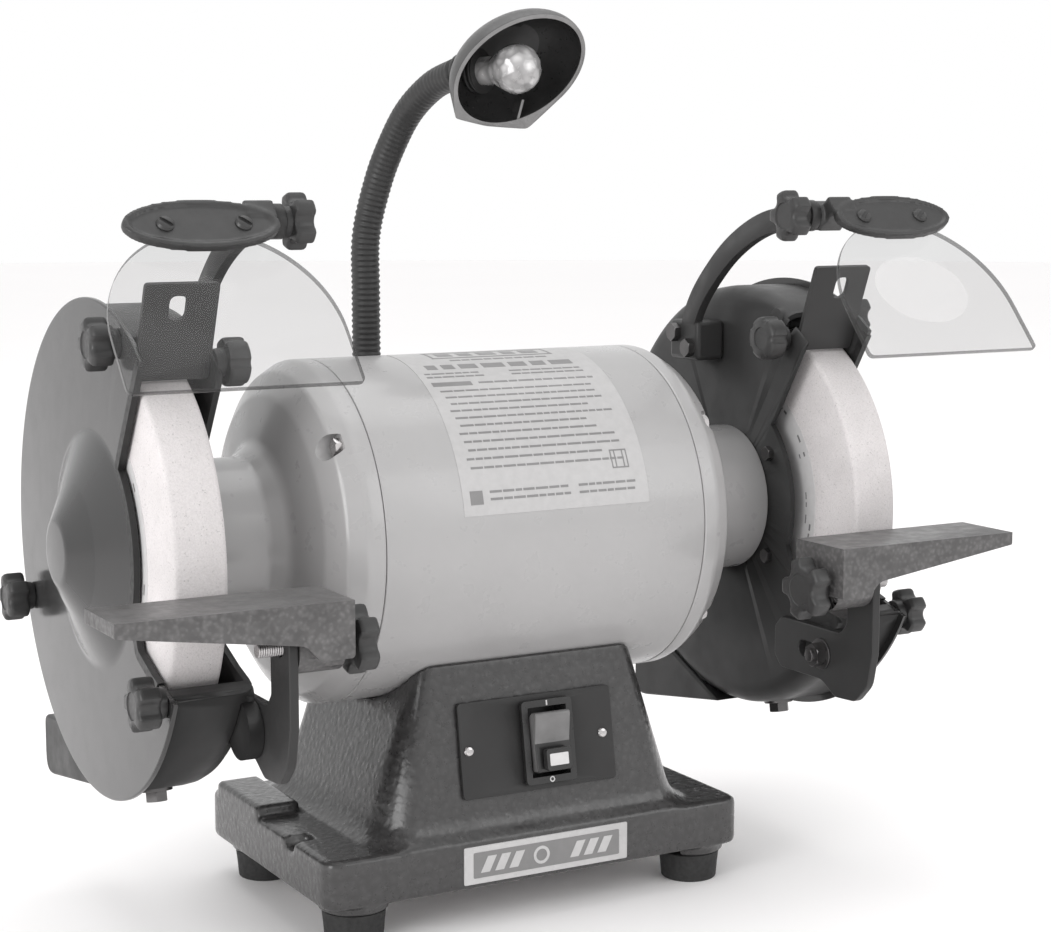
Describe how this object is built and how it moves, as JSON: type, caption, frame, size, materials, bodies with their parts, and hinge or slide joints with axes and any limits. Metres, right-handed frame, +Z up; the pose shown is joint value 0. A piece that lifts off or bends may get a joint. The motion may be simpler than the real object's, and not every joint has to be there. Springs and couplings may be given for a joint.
{
  "type": "bench grinder",
  "caption": "Double-ended bench grinder with wheel guards, tilting tool rests, clear eye shields, spark deflectors, dust ports, a rocker switch and a gooseneck work lamp.",
  "frame": {"origin": "middle of the footprint box, on the plane that the rubber feet stand on", "axes": "+Z up, X along the spindle, -Y towards the person using the machine"},
  "size_m": [0.487, 0.284, 0.4557],
  "materials": {
    "light_paint": "smooth semi-gloss enamel",
    "dark_paint": "satin black enamel",
    "cover_paint": "satin dark grey enamel over pressed sheet",
    "hammered_paint": "black hammered enamel over cast iron",
    "rest_iron": "ground top, painted sides",
    "knob_plastic": "moulded black phenolic",
    "switch_plastic": "light moulded rocker",
    "black_plastic": "moulded black",
    "clear_plastic": "clear polycarbonate",
    "abrasive": "open-grained white vitrified abrasive",
    "steel": "turned steel",
    "zinc_sheet": "plated sheet",
    "windings": "varnished copper windings on laminations",
    "can_aluminium": "drawn can",
    "rubber": "moulded",
    "lamp_glass": "frosted bulb with a plated cap"
  },
  "bodies": {
    "base": {"base_casting": "hammered_paint", "bottom_plate": "zinc_sheet", "foot_front_left": "rubber", "foot_front_right": "rubber", "foot_rear_left": "rubber", "foot_rear_right": "rubber", "switch_plate": "dark_paint", "switch_housing": "black_plastic", "capacitor": "can_aluminium", "cord_gland": "rubber", "motor_shell": "light_paint", "stator": "windings", "gooseneck_lower": "dark_paint", "end_bell_left": "light_paint", "end_bell_right": "light_paint", "bearing_left": "steel", "bearing_right": "steel", "guard_left": "dark_paint", "guard_right": "dark_paint", "guard_cover_left": "cover_paint", "guard_cover_right": "cover_paint", "shield_arm_left": "dark_paint", "shield_arm_right": "dark_paint"},
    "spindle": {"rotor": "steel", "spindle_shaft": "steel", "wheel_left": "abrasive", "wheel_right": "abrasive", "inner_flange_left": "steel", "inner_flange_right": "steel", "outer_flange_left": "steel", "outer_flange_right": "steel", "spindle_nut_left": "steel", "spindle_nut_right": "steel"},
    "paddle": {"switch_paddle": "switch_plastic"},
    "key": {"lockout_key": "black_plastic"},
    "neck": {"gooseneck_upper": "dark_paint"},
    "head": {"lamp_head": "dark_paint", "lamp_bulb": "lamp_glass"},
    "deflector_left": {"spark_deflector_left": "dark_paint"},
    "deflector_screw_left": {"deflector_knob_left": "knob_plastic"},
    "bracket_left": {"rest_bracket_left": "dark_paint"},
    "rest_left": {"tool_rest_left": "rest_iron"},
    "rest_screw_left": {"rest_knob_left": "knob_plastic"},
    "shield_left": {"shield_bracket_left": "dark_paint", "shield_pane_left": "clear_plastic"},
    "shield_screw_left": {"shield_knob_left": "knob_plastic"},
    "cover_screw_top_left": {"cover_knob_top_left": "knob_plastic"},
    "cover_screw_front_left": {"cover_knob_front_left": "knob_plastic"},
    "cover_screw_rear_left": {"cover_knob_rear_left": "knob_plastic"},
    "deflector_right": {"spark_deflector_right": "dark_paint"},
    "deflector_screw_right": {"deflector_knob_right": "knob_plastic"},
    "bracket_right": {"rest_bracket_right": "dark_paint"},
    "rest_right": {"tool_rest_right": "rest_iron"},
    "rest_screw_right": {"rest_knob_right": "knob_plastic"},
    "shield_right": {"shield_bracket_right": "dark_paint", "shield_pane_right": "clear_plastic"},
    "shield_screw_right": {"shield_knob_right": "knob_plastic"},
    "cover_screw_top_right": {"cover_knob_top_right": "knob_plastic"},
    "cover_screw_front_right": {"cover_knob_front_right": "knob_plastic"},
    "cover_screw_rear_right": {"cover_knob_rear_right": "knob_plastic"}
  },
  "joints": [
    {"name": "spindle_spin", "type": "hinge", "parent": "base", "child": "spindle", "pos_m": [0, 0.021, 0.192], "axis": [1, 0, 0], "continuous": true},
    {"name": "switch_rocker", "type": "hinge", "parent": "base", "child": "paddle", "pos_m": [0.005, -0.05006, 0.08716], "axis": [-1, 0, 0], "range_deg": [0, 12]},
    {"name": "key_pull", "type": "slide", "parent": "paddle", "child": "key", "axis": [0, -0.9867, 0.1626], "range_m": [0, 0.012]},
    {"name": "deflector_slide_left", "type": "slide", "parent": "base", "child": "deflector_left", "axis": [0, -0.3649, 0.9311], "range_m": [0, 0.008]},
    {"name": "deflector_knob_turn_left", "type": "hinge", "parent": "deflector_left", "child": "deflector_screw_left", "pos_m": [-0.1577, -0.032, 0.284], "axis": [-1, 0, 0], "continuous": true},
    {"name": "bracket_slide_left", "type": "slide", "parent": "base", "child": "bracket_left", "axis": [0, -1, 0], "range_m": [-0.001, 0.015]},
    {"name": "rest_tilt_left", "type": "hinge", "parent": "bracket_left", "child": "rest_left", "pos_m": [-0.146, -0.107, 0.163], "axis": [1, 0, 0], "range_deg": [-6, 20]},
    {"name": "rest_knob_turn_left", "type": "hinge", "parent": "rest_left", "child": "rest_screw_left", "pos_m": [-0.1294, -0.107, 0.163], "axis": [-1, 0, 0], "continuous": true},
    {"name": "shield_tilt_left", "type": "hinge", "parent": "base", "child": "shield_left", "pos_m": [-0.154, -0.0724, 0.3495], "axis": [1, 0, 0], "range_deg": [-75, 12]},
    {"name": "shield_knob_turn_left", "type": "hinge", "parent": "base", "child": "shield_screw_left", "pos_m": [-0.1412, -0.0724, 0.3495], "axis": [-1, 0, 0], "continuous": true},
    {"name": "cover_knob_turn_top_left", "type": "hinge", "parent": "base", "child": "cover_screw_top_left", "pos_m": [-0.2091, -0.02218, 0.29372], "axis": [-1, 0, 0], "continuous": true},
    {"name": "cover_knob_turn_front_left", "type": "hinge", "parent": "base", "child": "cover_screw_front_left", "pos_m": [-0.2091, -0.0747, 0.13675], "axis": [-1, 0, 0], "continuous": true},
    {"name": "cover_knob_turn_rear_left", "type": "hinge", "parent": "base", "child": "cover_screw_rear_left", "pos_m": [-0.2091, 0.12416, 0.1524], "axis": [-1, 0, 0], "continuous": true},
    {"name": "deflector_slide_right", "type": "slide", "parent": "base", "child": "deflector_right", "axis": [0, -0.3649, 0.9311], "range_m": [0, 0.008]},
    {"name": "deflector_knob_turn_right", "type": "hinge", "parent": "deflector_right", "child": "deflector_screw_right", "pos_m": [0.1577, -0.032, 0.284], "axis": [1, 0, 0], "continuous": true},
    {"name": "bracket_slide_right", "type": "slide", "parent": "base", "child": "bracket_right", "axis": [0, -1, 0], "range_m": [-0.001, 0.015]},
    {"name": "rest_tilt_right", "type": "hinge", "parent": "bracket_right", "child": "rest_right", "pos_m": [0.146, -0.107, 0.163], "axis": [1, 0, 0], "range_deg": [-6, 20]},
    {"name": "rest_knob_turn_right", "type": "hinge", "parent": "rest_right", "child": "rest_screw_right", "pos_m": [0.1294, -0.107, 0.163], "axis": [1, 0, 0], "continuous": true},
    {"name": "shield_tilt_right", "type": "hinge", "parent": "base", "child": "shield_right", "pos_m": [0.154, -0.0724, 0.3495], "axis": [1, 0, 0], "range_deg": [-75, 12]},
    {"name": "shield_knob_turn_right", "type": "hinge", "parent": "base", "child": "shield_screw_right", "pos_m": [0.1412, -0.0724, 0.3495], "axis": [1, 0, 0], "continuous": true},
    {"name": "cover_knob_turn_top_right", "type": "hinge", "parent": "base", "child": "cover_screw_top_right", "pos_m": [0.2091, -0.02218, 0.29372], "axis": [1, 0, 0], "continuous": true},
    {"name": "cover_knob_turn_front_right", "type": "hinge", "parent": "base", "child": "cover_screw_front_right", "pos_m": [0.2091, -0.0747, 0.13675], "axis": [1, 0, 0], "continuous": true},
    {"name": "cover_knob_turn_rear_right", "type": "hinge", "parent": "base", "child": "cover_screw_rear_right", "pos_m": [0.2091, 0.12416, 0.1524], "axis": [1, 0, 0], "continuous": true},
    {"name": "neck_bend", "type": "hinge", "parent": "base", "child": "neck", "pos_m": [-0.0125, 0.121, 0.301], "axis": [1, 0, 0], "range_deg": [-25, 15]},
    {"name": "head_tilt", "type": "hinge", "parent": "neck", "child": "head", "pos_m": [0.012, 0.056, 0.424], "axis": [-0.8995, -0.4369, 0], "range_deg": [-20, 20]}
  ]
}
